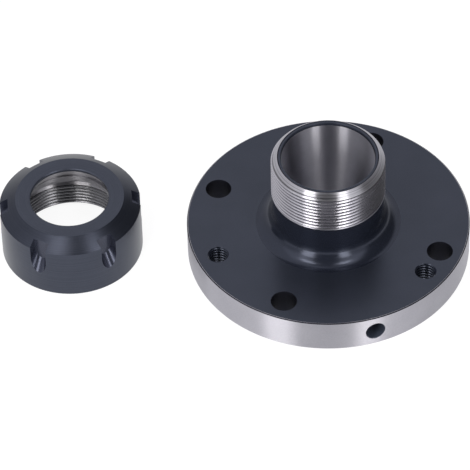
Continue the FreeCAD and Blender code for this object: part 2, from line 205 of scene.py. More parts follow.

# %% [markdown]
# The finish itself is one function. Its colour runs from dark to light with the clouds,
# or with the tool's rings where those carry the colour. Its roughness runs between two
# values with the rings, so that a highlight is never quite even. Near the bottom of a
# thread's groove the colour is darkened by radius, as painted shade for the light that
# the deep groove keeps out.

# %% One function for all steel finishes
def steel(name, axis, colours, roughness, metallic=1.0, anisotropy=0.0, lines=3.0,
          ring_depth=0.002, grain=0.0, patch=12.0, rings=0.0, painted_root_shade=None):
    """Steel finish about a vertical axis.

    colours and roughness are pairs of a low and a high value. lines is the number of tool
    rings in a mm, ring_depth is how deep they look in mm, and rings is their share in the
    colour. grain is how much of an even grain lies over them, and patch is the size of the
    clouds in mm. The last argument is for a thread: painted shade near the bottom of its
    groove, given as the radius where it is full, the radius where it ends, and the share
    of the colour that it leaves.
    """
    material = bpy.data.materials.new(name)
    material.use_nodes = True
    tree = material.node_tree
    tree.nodes.clear()
    output = tree.nodes.new("ShaderNodeOutputMaterial")
    shader = tree.nodes.new("ShaderNodeBsdfPrincipled")
    tree.links.new(shader.outputs[0], output.inputs[0])
    place = add_node(tree, "ShaderNodeTexCoord")
    centred = add_node(tree, "ShaderNodeMapping", {"Vector": place.outputs["Object"]})
    centred.inputs["Location"].default_value = -axis * MM
    marks = add_node(tree, "ShaderNodeGroup", node_tree=TURNING_MARKS)
    marks.inputs["Lines per mm"].default_value = lines
    tree.links.new(centred.outputs[0], marks.inputs["Coordinate"])
    mottling = add_node(tree, "ShaderNodeGroup", node_tree=MOTTLING)
    mottling.inputs["Patch mm"].default_value = patch
    tree.links.new(centred.outputs[0], mottling.inputs["Coordinate"])

    speckle = math_node(tree, "MULTIPLY", mottling.outputs["Grain"], 0.5)
    uneven = math_node(tree, "MULTIPLY_ADD", mottling.outputs["Clouds"], 0.5, speckle)
    uneven = add_node(tree, "ShaderNodeMix", {"Factor": rings, "A": uneven,
                                              "B": marks.outputs["Lines"]}).outputs[0]
    spread = add_node(tree, "ShaderNodeMapRange",
                      {"Value": uneven, "From Min": 0.35, "From Max": 0.65})
    dark, light = colours
    colour = add_node(tree, "ShaderNodeMix",
                      {"Factor": spread.outputs[0], "A": (*dark, 1), "B": (*light, 1)},
                      data_type="RGBA")
    shown = colour.outputs["Result"]
    # Painted shade near the bottom of a thread's groove: the colour darkens by radius.
    if painted_root_shade:
        root_r, unshaded_r, share = painted_root_shade
        root_shade_factor = add_node(tree, "ShaderNodeMapRange",
                         {"Value": marks.outputs["Radius in mm"], "From Min": root_r,
                          "From Max": unshaded_r, "To Min": share, "To Max": 1.0})
        shaded = add_node(tree, "ShaderNodeMix", {"Factor": 1.0, "A": shown, "B": root_shade_factor.outputs[0]},
                          data_type="RGBA", blend_type="MULTIPLY")
        shown = shaded.outputs["Result"]
    tree.links.new(shown, shader.inputs["Base Color"])
    rough = add_node(tree, "ShaderNodeMapRange",
                     {"Value": marks.outputs["Lines"], "From Min": 0.3, "From Max": 0.7,
                      "To Min": roughness[0], "To Max": roughness[1]})
    tree.links.new(rough.outputs[0], shader.inputs["Roughness"])
    relief = math_node(tree, "MULTIPLY_ADD", mottling.outputs["Grain"], grain, marks.outputs["Lines"])
    bump = add_node(tree, "ShaderNodeBump", {"Height": relief, "Strength": 1.0,
                                             "Distance": ring_depth * MM})
    tree.links.new(bump.outputs[0], shader.inputs["Normal"])
    shader.inputs["Metallic"].default_value = metallic
    shader.inputs["Anisotropic"].default_value = anisotropy
    shader.inputs["Anisotropic Rotation"].default_value = 0.25
    if anisotropy:
        round_axis = add_node(tree, "ShaderNodeTangent", direction_type="RADIAL", axis="Z")
        tree.links.new(round_axis.outputs[0], shader.inputs["Tangent"])
    return material


print("finishes are made by steel()")

# %% Colours, each from dark to light
BLACKED = (0.033, 0.039, 0.057), (0.039, 0.045, 0.066)
BLACKED_NECK = (0.0215, 0.026, 0.042), (0.024, 0.029, 0.047)
BLACKED_NUT = (0.041, 0.047, 0.066), (0.055, 0.062, 0.086)
BLACKED_CONE = (0.025, 0.029, 0.043), (0.036, 0.041, 0.059)
MILLED = (0.034, 0.039, 0.062), (0.040, 0.045, 0.070)
DRILLED = (0.034, 0.042, 0.066), (0.040, 0.050, 0.076)
HOLE_SHADE_COLOURS = (0.009, 0.010, 0.018), (0.012, 0.013, 0.023)
BARE_BODY = (0.40, 0.395, 0.44), (0.46, 0.455, 0.50)
BARE_TAPER = (0.355, 0.355, 0.40), (0.425, 0.425, 0.475)
BARE_CHAMFER = (0.25, 0.25, 0.28), (0.50, 0.495, 0.54)
BARE_NUT = (0.29, 0.287, 0.31), (0.35, 0.347, 0.375)
BARE_NUT_THREAD = (0.19, 0.192, 0.21), (0.25, 0.252, 0.27)
# Painted shade in a thread's groove: its full depth from the crest, the depth where it ends, and the
# share of the colour that it leaves.
ROOT_DEPTH, ROOT_END, ROOT_SHADE_SHARE = 0.75, 0.3, 0.25
print("blacked steel reflects about a tenth of what bare steel does")

# %% Finishes of the chuck's body
body_black = steel("blacked steel, body", BODY_AXIS, BLACKED, (0.28, 0.33),
                   metallic=0.7, grain=0.5)
body_neck = steel("blacked steel, neck", BODY_AXIS, BLACKED_NECK, (0.18, 0.22),
                  metallic=0.6, ring_depth=0.001, grain=0.5)
# Painted shade: the walls of the bolt holes are far darker than blacked steel, for the shade deep
# inside them. The same dark finish makes the dark strips along some edges.
body_hole_shade = steel("oiled steel in holes", BODY_AXIS, HOLE_SHADE_COLOURS, (0.50, 0.60),
                  metallic=0.85, grain=0.5)
body_drilled = steel("drilled and blacked steel, body", BODY_AXIS, DRILLED, (0.50, 0.60),
                     metallic=0.0, grain=0.5)
body_turned = steel("bare turned steel, body", BODY_AXIS, BARE_BODY, (0.32, 0.37),
                    anisotropy=1.0, lines=5.0, ring_depth=0.01)
body_thread = steel("bare thread, body", BODY_AXIS, BARE_BODY, (0.21, 0.25),
                    anisotropy=0.8, lines=1.4, ring_depth=0.004,
                    painted_root_shade=(THREAD_R - ROOT_DEPTH, THREAD_R - ROOT_END, ROOT_SHADE_SHARE))
body_ground = steel("ground taper, body", BODY_AXIS, BARE_TAPER, (0.345, 0.385),
                    anisotropy=1.0, lines=5.0, ring_depth=0.008, patch=6.0)
body_chamfer = steel("bare chamfer, body", BODY_AXIS, BARE_CHAMFER, (0.27, 0.35),
                     anisotropy=1.0, lines=1.8, ring_depth=0.02, rings=0.9)
BODY_FINISHES = (body_black, body_turned, body_thread, body_ground, body_neck, body_hole_shade,
                 body_chamfer)
print(len(BODY_FINISHES), "finishes for turned faces, and", body_drilled.name, "for the bar hole")

# %% Finishes of the clamping nut
nut_black = steel("blacked steel, nut", NUT_AXIS, BLACKED_NUT, (0.28, 0.34),
                  metallic=0.8, lines=2.2, ring_depth=0.0008, grain=0.5, rings=0.6)
nut_cone = steel("blacked steel, nut's cone", NUT_AXIS, BLACKED_CONE, (0.28, 0.34),
                 metallic=0.8, lines=2.2, ring_depth=0.0012, grain=0.5, rings=0.6)
nut_milled = steel("milled and blacked steel, nut", NUT_AXIS, MILLED, (0.21, 0.25),
                   metallic=0.6, ring_depth=0.0008, grain=0.5)
nut_turned = steel("bare turned steel, nut", NUT_AXIS, BARE_NUT, (0.30, 0.35),
                   anisotropy=1.0, lines=5.0, ring_depth=0.03)
nut_thread = steel("bare thread, nut", NUT_AXIS, BARE_NUT_THREAD, (0.25, 0.29),
                   anisotropy=0.9, lines=1.4, ring_depth=0.004,
                   painted_root_shade=(NUT_BORE_R + ROOT_DEPTH, NUT_BORE_R + ROOT_END, ROOT_SHADE_SHARE))
NUT_FINISHES = (nut_black, nut_turned, nut_thread, nut_cone)
print(len(NUT_FINISHES), "finishes for turned faces, and", nut_milled.name, "for the slots")

# %% [markdown]
# ## Turning
# A lathe part is an outline spun round an axis. The outline below is a list of corners,
# each with a radius, a height, how much the corner is rounded, and the finish of the
# surface that follows it. A sharp machined edge is never perfectly sharp: a rounding of
# a tenth of a millimetre gives it the thin bright line that it has in real life.

# %% Round the corners of an outline
ARC_STEPS, ARC_STEPS_PER_MM = 4, 2.5


def rounded_outline(corners):
    """Outline with an arc for each rounded corner: a list of (radius, height, finish)."""
    points = []
    for index, (radius, height, rounding, finish) in enumerate(corners):
        here = Vector((radius, height))
        if rounding == 0:
            points.append((radius, height, finish))
            continue
        before = (Vector(corners[index - 1][:2]) - here).normalized()
        after = (Vector(corners[(index + 1) % len(corners)][:2]) - here).normalized()
        half = before.angle(after) / 2
        setback = rounding / math.tan(half)
        centre = here + (before + after).normalized() * rounding / math.sin(half)
        first, last = here + before * setback - centre, here + after * setback - centre
        count = max(ARC_STEPS, round(rounding * ARC_STEPS_PER_MM))
        turn = first.angle_signed(last)
        for step in range(count + 1):
            spoke = first.copy()
            spoke.rotate(Matrix.Rotation(-turn * step / count, 2))
            points.append((centre.x + spoke.x, centre.y + spoke.y, finish))
    return points


square = [(0, 0, 0, 0), (9, 0, 1, 0), (9, 9, 0, 0)]
print(len(square), "corners with one rounded are", len(rounded_outline(square)), "points")

# %% Rings, bands and objects
def add_ring(work, radius, height, columns, axis=BODY_AXIS):
    """Ring of new points round a vertical axis. Sizes are in mm, and the mesh is in metres."""
    ring = []
    for column in range(columns):
        turn = 2 * math.pi * column / columns
        spot = Vector((radius * math.cos(turn), radius * math.sin(turn), height)) + axis
        ring.append(work.verts.new(spot * MM))
    return ring


def add_band(work, lower, upper, finish=0):
    """Faces between two closed rings."""
    for column in range(len(lower)):
        following = (column + 1) % len(lower)
        face = work.faces.new((lower[column], lower[following], upper[following], upper[column]))
        face.material_index = finish


def object_from(work, name):
    """Object made from finished mesh work, with its faces turned outward."""
    bmesh.ops.recalc_face_normals(work, faces=work.faces)
    mesh = bpy.data.meshes.new(name)
    work.to_mesh(mesh)
    work.free()
    made = bpy.data.objects.new(name, mesh)
    scene.collection.objects.link(made)
    return made


print("rings and bands are ready")

# %% Spin an outline
COLUMNS = 288


def turned(name, corners, axis, finishes):
    """Closed solid of revolution about a vertical axis."""
    points = rounded_outline(corners)
    work = bmesh.new()
    rings = [add_ring(work, radius, height, COLUMNS, axis) for radius, height, _ in points]
    for index, (_, _, finish) in enumerate(points):
        add_band(work, rings[index], rings[(index + 1) % len(rings)], finish)
    piece = object_from(work, name)
    for finish in finishes:
        piece.data.materials.append(finish)
    return piece


print("spinning uses", COLUMNS, "columns")

# %% [markdown]
# The body's outline runs from the rear recess outwards, over the rim, up the neck and
# the nose, and back down through the taper. Where it was cut after blacking it is bare.
# Thin strips of other finishes lie along some edges: dark ones of the holes' finish,
# and bright ones of bare steel.

# %% Turn the chuck's body
BLACK, BARE, THREAD, GROUND, NECK, HOLE, CHAMFER = range(len(BODY_FINISHES))
BARE_LINE, BRIGHT_LINE, DARK_LINE = 0.12, 0.25, 0.5
EDGE_ROUND, LAND_ROUND, FINE_ROUND = 0.2, 0.15, 0.1
chuck = turned("turned_chuck", [
    (REGISTER_R + REAR_EDGE, 0, 0, BARE),
    (FLANGE_R - REAR_EDGE, 0, 0, BARE),
    (FLANGE_R, REAR_EDGE, 0, BARE),
    (FLANGE_R, FLANGE_TOP - FRONT_EDGE, 0, HOLE),
    (FLANGE_R - FRONT_EDGE, FLANGE_TOP, 0, BARE),
    (FLANGE_R - FRONT_EDGE - BARE_LINE, FLANGE_TOP, 0, BLACK),
    (NECK_R, FLANGE_TOP, NECK_FILLET, NECK),
    (NECK_R, THREAD_BASE, 0, BARE),
    (THREAD_R, COLLAR_LOW, 0, BARE),
    (THREAD_R, COLLAR_HIGH, 0, BARE),
    (THREAD_R - GROOVE_DEPTH, GROOVE_LOW, 0, THREAD),
    (THREAD_R - GROOVE_DEPTH, GROOVE_HIGH, 0, THREAD),
    (THREAD_R, GROOVE_END, 0, THREAD),
    (THREAD_R, NOSE_TOP - NOSE_CHAMFER, 0, CHAMFER),
    (LAND_R + BRIGHT_LINE, NOSE_TOP - BRIGHT_LINE, 0, BARE),
    (LAND_R, NOSE_TOP, LAND_ROUND, BARE),
    (LAND_R - BARE_LINE, NOSE_TOP, 0, HOLE),
    (LAND_R - DARK_LINE, NOSE_TOP, 0, BLACK),
    (MOUTH_R + LEAD_WIDTH, NOSE_TOP, FINE_ROUND, BLACK),
    (MOUTH_R - LEAD_DEPTH * SOCKET_TAPER, NOSE_TOP - LEAD_DEPTH, 0, BARE),
    (MOUTH_R - LEAD_END * SOCKET_TAPER, NOSE_TOP - LEAD_END, 0, GROUND),
    (MOUTH_R - SOCKET_DEPTH * SOCKET_TAPER, NOSE_TOP - SOCKET_DEPTH, 0, GROUND),
    (BORE_R, NOSE_TOP - SOCKET_DEPTH, 0, GROUND),
    (BORE_R, REGISTER_DEPTH, 0, BARE),
    (REGISTER_R, REGISTER_DEPTH, 0, BARE),
    (REGISTER_R, REAR_EDGE, 0, BARE),
], BODY_AXIS, BODY_FINISHES)
print(chuck.name, len(chuck.data.polygons), "faces")

# %% [markdown]
# The nut's outline starts at its open end, goes over the outside to the front face, and
# comes back through the collet's seat, the extractor ring and the thread's bore.

# %% Turn the clamping nut
CONE = NUT_FINISHES.index(nut_cone)
seat_high = NUT_TOP - NUT_MOUTH_LAND
seat_low = seat_high - (NUT_SEAT_R - NUT_MOUTH_R) / math.tan(NUT_SEAT_ANGLE)
extractor_low = seat_low - EXTRACTOR_WIDTH
nut = turned("turned_nut", [
    (NUT_RIM_R, 0, 0, BLACK),
    (NUT_R - REAR_EDGE, 0, 0, BLACK),
    (NUT_R, REAR_EDGE, 0, BLACK),
    (NUT_R, NUT_TOP - NUT_CONE_LENGTH, EDGE_ROUND, CONE),
    (NUT_R - NUT_CONE_WIDTH, NUT_TOP, EDGE_ROUND, BLACK),
    (NUT_MOUTH_R + NUT_MOUTH_EDGE, NUT_TOP, FINE_ROUND, BLACK),
    (NUT_MOUTH_R, NUT_TOP - NUT_MOUTH_EDGE, 0, BLACK),
    (NUT_MOUTH_R, seat_high, 0, BARE),
    (NUT_SEAT_R, seat_low, 0, BARE),
    (EXTRACTOR_R - EXTRACTOR_OFFSET, seat_low, 0, BARE),
    (EXTRACTOR_R - EXTRACTOR_OFFSET, extractor_low, 0, BARE),
    (NUT_RELIEF_R, extractor_low, 0, BARE),
    (NUT_RELIEF_R, NUT_THREAD_LENGTH + HALF_SLOPE, 0, BARE),
    (NUT_BORE_R, NUT_THREAD_LENGTH - HALF_SLOPE, 0, THREAD),
    (NUT_BORE_R, NUT_RIM_R - NUT_BORE_R, 0, THREAD),
], NUT_AXIS, NUT_FINISHES)
print(nut.name, len(nut.data.polygons), "faces")

# %% [markdown]
# ## Cuts that repeat
# Holes and slots are one cut, repeated round an axis. A Geometry Nodes tree does what
# a dividing head does: it turns copies of one cutter to equal angles and takes them all
# away from the blank. Faces that the cutter leaves behind are marked, so that the tree's
# last node can give them their own finish.

# %% Tree: ring of cuts
def tree_with(name, sockets):
    """Geometry tree with a geometry input and output and the named inputs."""
    tree = bpy.data.node_groups.new(name, "GeometryNodeTree")
    tree.interface.new_socket("Geometry", in_out="INPUT", socket_type="NodeSocketGeometry")
    tree.interface.new_socket("Geometry", in_out="OUTPUT", socket_type="NodeSocketGeometry")
    for label, kind in sockets:
        tree.interface.new_socket(label, in_out="INPUT", socket_type=kind)
    return tree, tree.nodes.new("NodeGroupInput"), tree.nodes.new("NodeGroupOutput")


def take_away(tree, start, end, blank, cutter):
    """Last nodes of a cutting tree: mark the cutter, subtract it, and finish what it left."""
    marked = add_node(tree, "GeometryNodeStoreNamedAttribute",
                      {"Geometry": cutter, "Name": "cut", "Value": True},
                      data_type="BOOLEAN", domain="FACE")
    difference = add_node(tree, "GeometryNodeMeshBoolean", {"Mesh 1": blank},
                          operation="DIFFERENCE", solver="MANIFOLD")
    tree.links.new(marked.outputs[0], difference.inputs["Mesh 2"])
    is_cut = add_node(tree, "GeometryNodeInputNamedAttribute", {"Name": "cut"},
                      data_type="BOOLEAN")
    real = add_node(tree, "GeometryNodeRealizeInstances", {"Geometry": difference.outputs[0]})
    finished = add_node(tree, "GeometryNodeSetMaterial",
                        {"Geometry": real.outputs[0], "Selection": is_cut.outputs[0],
                         "Material": start.outputs["Finish"]})
    unmarked = add_node(tree, "GeometryNodeRemoveAttribute",
                        {"Geometry": finished.outputs[0], "Name": "cut"})
    tree.links.new(unmarked.outputs[0], end.inputs[0])


def ring_of_cuts_tree():
    """Takes copies of a cutter, turned to equal angles about a vertical axis, from a blank."""
    tree, start, end = tree_with("Ring of cuts", [
        ("Cutter", "NodeSocketObject"), ("Count", "NodeSocketInt"),
        ("First angle", "NodeSocketFloat"), ("Axis", "NodeSocketVector"),
        ("Finish", "NodeSocketMaterial")])
    cutter = add_node(tree, "GeometryNodeObjectInfo", {"Object": start.outputs["Cutter"]})
    points = add_node(tree, "GeometryNodePoints", {"Count": start.outputs["Count"],
                                                   "Position": start.outputs["Axis"]})
    step = math_node(tree, "DIVIDE", 2 * math.pi, start.outputs["Count"])
    number = add_node(tree, "GeometryNodeInputIndex").outputs[0]
    turn = math_node(tree, "MULTIPLY_ADD", number, step, start.outputs["First angle"])
    rotation = add_node(tree, "ShaderNodeCombineXYZ", {2: turn})
    copies = add_node(tree, "GeometryNodeInstanceOnPoints",
                      {"Points": points.outputs[0], "Instance": cutter.outputs["Geometry"],
                       "Rotation": rotation.outputs[0]})
    real = add_node(tree, "GeometryNodeRealizeInstances", {"Geometry": copies.outputs[0]})
    take_away(tree, start, end, start.outputs["Geometry"], real.outputs[0])
    return tree


RING_OF_CUTS = ring_of_cuts_tree()
print("tree", RING_OF_CUTS.name, "with", len(RING_OF_CUTS.nodes), "nodes")

# %% Run a tree on a piece and keep the result as its mesh
def open_edges(mesh):
    """Edges that don't join exactly two faces. A closed piece has none."""
    uses = [0] * len(mesh.edges)
    for loop in mesh.loops:
        uses[loop.edge_index] += 1
    return sum(1 for count in uses if count != 2)


def run_tree(piece, tree, values):
    """Sets the tree's inputs by identifier, evaluates it, and keeps the mesh that it makes."""
    modifier = piece.modifiers.new(tree.name, "NODES")
    modifier.node_group = tree
    names = {item.name: item.identifier for item in tree.interface.items_tree
             if item.item_type == "SOCKET" and item.in_out == "INPUT"}
    for label, value in values.items():
        modifier[names[label]] = value
    bpy.context.view_layer.update()
    ready = piece.evaluated_get(bpy.context.evaluated_depsgraph_get())
    made = bpy.data.meshes.new_from_object(ready)
    piece.modifiers.remove(modifier)
    old = piece.data
    piece.data = made
    made.name = piece.name
    bpy.data.meshes.remove(old)
    print(piece.name, "after", tree.name.lower() + ":", len(made.polygons), "faces,",
          open_edges(made), "open edges")


def cut_ring(piece, cutter, count, first_angle, axis, finish):
    """Ring of cuts on a piece. The cutter is thrown away afterwards."""
    run_tree(piece, RING_OF_CUTS, {"Cutter": cutter, "Count": count,
                                   "First angle": math.radians(first_angle),
                                   "Axis": axis * MM, "Finish": finish})
    bpy.data.objects.remove(cutter)


print("ready to cut")

# %% [markdown]
# A drill leaves a round wall, and a touch of a countersink breaks its edge. The cutter
# for that is a plug of its own, which stands round the vertical axis first and is then
# moved to where the first hole will be. It reaches a little past each face that it opens.

# %% Drill cutter
PLUG_ABOVE = 2.0


def drill(radius, rim_radius, low, high, columns=64):
    """Closed plug with a countersink, in mm. high is the level of the drilled face."""
    work = bmesh.new()
    rings = [add_ring(work, ring_radius, height, columns) for ring_radius, height in (
        (radius, low), (radius, high - (rim_radius - radius)),
        (rim_radius, high), (rim_radius, high + PLUG_ABOVE))]
    for lower, upper in zip(rings, rings[1:]):
        add_band(work, lower, upper)
    work.faces.new(list(reversed(rings[0])))
    work.faces.new(rings[-1])
    return object_from(work, "drill")


def placed(cutter, matrix):
    """The cutter, moved within its mesh."""
    cutter.data.transform(matrix)
    return cutter


print("a drill's plug ends", PLUG_ABOVE, "mm above the drilled face")

# %% [markdown]
# A tap is a screw. Its surface is one ribbon, wound upwards so that each turn joins the
# one below: up the flank, along the crest, down the other flank, and over the core to
# the next turn. Two fans of triangles close its ends.

# %% Tap cutter
FLANK_LEAN = math.tan(math.radians(30))
CREST_PER_PITCH = 1 / 8


def tap(core_r, crest_r, pitch, low, high, columns=48):
    """Closed screw about a vertical axis through the origin, in mm."""
    flank = (crest_r - core_r) * FLANK_LEAN
    crest = pitch * CREST_PER_PITCH
    ribbon = [(core_r, 0), (crest_r, flank), (crest_r, flank + crest), (core_r, 2 * flank + crest)]
    turns = math.ceil((high - low) / pitch)
    work = bmesh.new()
    spots = []
    for step in range(turns * columns + 1):
        turn = 2 * math.pi * step / columns
        for radius, rise in ribbon:
            height = low + pitch * step / columns + rise
            spot = Vector((radius * math.cos(turn), radius * math.sin(turn), height))
            spots.append(work.verts.new(spot * MM))
    width = len(ribbon)
    one_turn = width * columns
    for here in range(0, turns * one_turn, width):
        for corner in range(here, here + width - 1):
            work.faces.new((spots[corner], spots[corner + width],
                            spots[corner + width + 1], spots[corner + 1]))
        if here + one_turn + width < len(spots):
            last, above = here + width - 1, here + one_turn
            work.faces.new((spots[last], spots[last + width], spots[above + width], spots[above]))
    for height in (low, low + turns * pitch + 2 * flank + crest):
        loose = [edge for edge in work.edges if len(edge.link_faces) == 1
                 and abs((edge.verts[0].co.z + edge.verts[1].co.z) / 2 / MM - height) < 1.01 * pitch]
        tip = work.verts.new(Vector((0, 0, height)) * MM)
        for edge in loose:
            work.faces.new((edge.verts[0], edge.verts[1], tip))
    return object_from(work, "tap")


print("a tap's crest is", round(SCREW_PITCH * CREST_PER_PITCH, 3), "mm wide")

# %% [markdown]
# Four bolt holes and three tapped holes share one circle. The tapped ones are drilled
# and then tapped, as in the workshop. The tap's core is a little thinner than the drilled
# hole, and it starts lower than the drill does, so that no two faces lie on each other.

# %% Bolt holes, tapped holes and the bar hole
DRILL_LOW, TAP_LOW, TAP_ABOVE = -1, -1.3, 1
TAP_CORE_R, TAP_CREST_R = SCREW_BORE_R - 0.08, SCREW_R - 0.02
BAR_FACE = FLANGE_R + 0.05
to_circle = Matrix.Translation(Vector((HOLE_CIRCLE_R, 0, 0)) * MM)
bolt_drill = placed(drill(BOLT_HOLE_R, BOLT_RIM_R, DRILL_LOW, FLANGE_TOP), to_circle)
cut_ring(chuck, bolt_drill, BOLT_COUNT, BOLT_ANGLE, BODY_AXIS, body_hole_shade)
screw_drill = placed(drill(SCREW_BORE_R, SCREW_RIM_R, DRILL_LOW, FLANGE_TOP, 48), to_circle)
cut_ring(chuck, screw_drill, SCREW_COUNT, SCREW_ANGLE, BODY_AXIS, body_neck)
screw_tap = placed(tap(TAP_CORE_R, TAP_CREST_R, SCREW_PITCH, TAP_LOW, FLANGE_TOP + TAP_ABOVE),
                   to_circle)
cut_ring(chuck, screw_tap, SCREW_COUNT, SCREW_ANGLE, BODY_AXIS, body_neck)
half_way_up = Matrix.Translation(Vector((0, 0, FLANGE_TOP / 2)) * MM)
lying_down = half_way_up @ Matrix.Rotation(math.pi / 2, 4, "Y")
bar_drill = placed(drill(BAR_HOLE_R, BAR_RIM_R, FLANGE_R - BAR_HOLE_DEPTH, BAR_FACE), lying_down)
cut_ring(chuck, bar_drill, 1, BAR_HOLE_ANGLE, BODY_AXIS, body_drilled)

# %% [markdown]
# ## Spanner slots
# Each slot was milled by an end mill of the slot's width. Along most of its length the
# floor is flat and parallel to the axis. At the lower end the mill left on a slope, so
# the floor there runs down to the outside. The cutter is one closed block: its inner
# face is flat, its sides are upright, and its round lower end leans out as the mill did.

# %% Slot cutter
CLEAR_OF_NUT = 4
ABOVE_NUT = 5


def slot_cutter(columns=20):
    """The mill's sweep at angle 0, with the nut's axis through the origin, in mm."""
    half = SLOT_WIDTH / 2
    past_nut = NUT_R + CLEAR_OF_NUT
    outward = Vector((math.sin(SLOT_SLOPE), 0, -math.cos(SLOT_SLOPE)))
    reach = (past_nut - SLOT_FLOOR_R) / math.sin(SLOT_SLOPE)
    low = SLOT_END + (NUT_R - SLOT_FLOOR_R) / math.tan(SLOT_SLOPE)
    centre_height = low + half / math.sin(SLOT_SLOPE)
    floor_ring, outer_ring = [], []
    for step in range(columns + 1):
        turn = math.pi * step / columns
        side, down = half * math.cos(turn), half * math.sin(turn) / math.sin(SLOT_SLOPE)
        spot = Vector((SLOT_FLOOR_R, side, centre_height - down))
        floor_ring.append(spot)
        outer_ring.append(spot + outward * reach)
    for side in (-half, half):
        floor_ring.append(Vector((SLOT_FLOOR_R, side, NUT_TOP + ABOVE_NUT)))
        outer_ring.append(Vector((past_nut, side, NUT_TOP + ABOVE_NUT)))
    work = bmesh.new()
    inner = [work.verts.new(spot * MM) for spot in floor_ring]
    outer = [work.verts.new(spot * MM) for spot in outer_ring]
    add_band(work, inner, outer)
    work.faces.new(inner)
    work.faces.new(list(reversed(outer)))
    return object_from(work, "mill")


cut_ring(nut, slot_cutter(), SLOT_COUNT, NUT_TURNED, NUT_AXIS, nut_milled)

# %% [markdown]
# The extractor ring has to let the collet's head through and then hold it, so its
# opening is bored off the nut's centre.

# %% Extractor ring
BELOW_RING = 0.5
ring_bore = drill(EXTRACTOR_R, EXTRACTOR_R, extractor_low - BELOW_RING, seat_low - PLUG_ABOVE, 192)
off_centre = Matrix.Translation(Vector((EXTRACTOR_OFFSET, 0, 0)) * MM)
cut_ring(nut, placed(ring_bore, off_centre), 1, NUT_TURNED + 180, NUT_AXIS, nut_turned)

# %% [markdown]
# ## Screw threads
# A thread is one groove that climbs round a cylinder. The tree below draws a spiral,
# sweeps the groove's section along it and takes the sweep away, which is what the lathe
# tool does. The section is the standard 60 degree one, so its opening, its narrow end
# and its depth all follow from the pitch. At the end of an outside thread the tool is
# drawn back, and the groove fades out instead of stopping at a wall.

# %% Tree: screw thread
# Share of the groove, from its low end, in which the tool is drawn back.
DRAWN_SHARE = 0.06


def screw_thread_tree():
    """Cuts a right-handed helical groove, whose section has its own inner and outer width."""
    tree, start, end = tree_with("Screw thread", [
        ("Radius", "NodeSocketFloat"), ("Depth", "NodeSocketFloat"),
        ("Inner width", "NodeSocketFloat"), ("Outer width", "NodeSocketFloat"),
        ("Pitch", "NodeSocketFloat"), ("Turns", "NodeSocketFloat"),
        ("Low end", "NodeSocketVector"), ("Start angle", "NodeSocketFloat"),
        ("Draw back", "NodeSocketFloat"), ("Steps per turn", "NodeSocketInt"),
        ("Finish", "NodeSocketMaterial")])
    given = start.outputs
    spiral = add_node(tree, "GeometryNodeCurveSpiral",
                      {"Resolution": given["Steps per turn"], "Rotations": given["Turns"],
                       "Reverse": True, "Start Radius": given["Radius"],
                       "End Radius": given["Radius"],
                       "Height": math_node(tree, "MULTIPLY", given["Turns"], given["Pitch"])})
    along = add_node(tree, "GeometryNodeSplineParameter").outputs["Factor"]
    near_end = add_node(tree, "ShaderNodeMapRange",
                        {"Value": along, "From Min": DRAWN_SHARE, "From Max": 0.0}).outputs[0]
    place = add_node(tree, "GeometryNodeInputPosition").outputs[0]
    flat = add_node(tree, "ShaderNodeVectorMath", {0: place, 1: (1, 1, 0)}, operation="MULTIPLY")
    outward = add_node(tree, "ShaderNodeVectorMath", {0: flat.outputs[0]}, operation="NORMALIZE")
    back = math_node(tree, "MULTIPLY", near_end, given["Draw back"])
    offset = add_node(tree, "ShaderNodeVectorMath", {0: outward.outputs[0]}, operation="SCALE")
    tree.links.new(back, offset.inputs["Scale"])
    drawn = add_node(tree, "GeometryNodeSetPosition",
                     {"Geometry": spiral.outputs[0], "Offset": offset.outputs[0]})
    turned_by = add_node(tree, "ShaderNodeCombineXYZ", {2: given["Start angle"]})
    moved = add_node(tree, "GeometryNodeTransform",
                     {"Geometry": drawn.outputs[0], "Translation": given["Low end"],
                      "Rotation": turned_by.outputs[0]})
    upright = add_node(tree, "GeometryNodeSetCurveNormal", {"Curve": moved.outputs[0]}, mode="Z_UP")
    section = add_node(tree, "GeometryNodeCurvePrimitiveQuadrilateral",
                       {"Bottom Width": given["Outer width"], "Top Width": given["Inner width"],
                        "Height": given["Depth"], "Offset": 0.0}, mode="TRAPEZOID")
    on_edge = add_node(tree, "GeometryNodeTransform",
                       {"Geometry": section.outputs[0], "Rotation": (0, 0, math.pi / 2)})
    sweep = add_node(tree, "GeometryNodeCurveToMesh",
                     {"Curve": upright.outputs[0], "Profile Curve": on_edge.outputs[0],
                      "Fill Caps": True})
    take_away(tree, start, end, given["Geometry"], sweep.outputs[0])
    return tree


SCREW_THREAD = screw_thread_tree()
print("tree", SCREW_THREAD.name, "with", len(SCREW_THREAD.nodes), "nodes")

# %% Cut a thread with the standard section
# The land between two turns of the groove is an eighth of the pitch wide on a screw and
# a quarter in a nut. The sweep stands a little proud of the surface that it cuts, and it
# starts between two columns of the blank, so that no faces or edges fall on each other.
PROUD_PER_PITCH = 0.04
THREAD_START = math.radians(0.37)


def cut_thread(piece, plain_r, low, high, axis, finish, outside, draw_back=0.0):
    """Thread from a low to a high level, in mm. plain_r is the cylinder's radius before it."""
    land = THREAD_PITCH * (1 / 8 if outside else 1 / 4)
    depth, proud = DEPTH_PER_PITCH * THREAD_PITCH, PROUD_PER_PITCH * THREAD_PITCH
    wide = THREAD_PITCH - land + 2 * proud * FLANK_LEAN
    narrow = wide - 2 * (depth + proud) * FLANK_LEAN
    direction = 1 if outside else -1
    middle_r = plain_r + direction * (proud - depth) / 2
    run_tree(piece, SCREW_THREAD, {
        "Radius": middle_r * MM, "Depth": (depth + proud) * MM,
        "Outer width": (wide if outside else narrow) * MM,
        "Inner width": (narrow if outside else wide) * MM,
        "Pitch": THREAD_PITCH * MM, "Turns": (high - low) / THREAD_PITCH,
        "Low end": (axis + Vector((0, 0, low))) * MM, "Start angle": THREAD_START,
        "Draw back": draw_back * MM, "Steps per turn": COLUMNS, "Finish": finish})


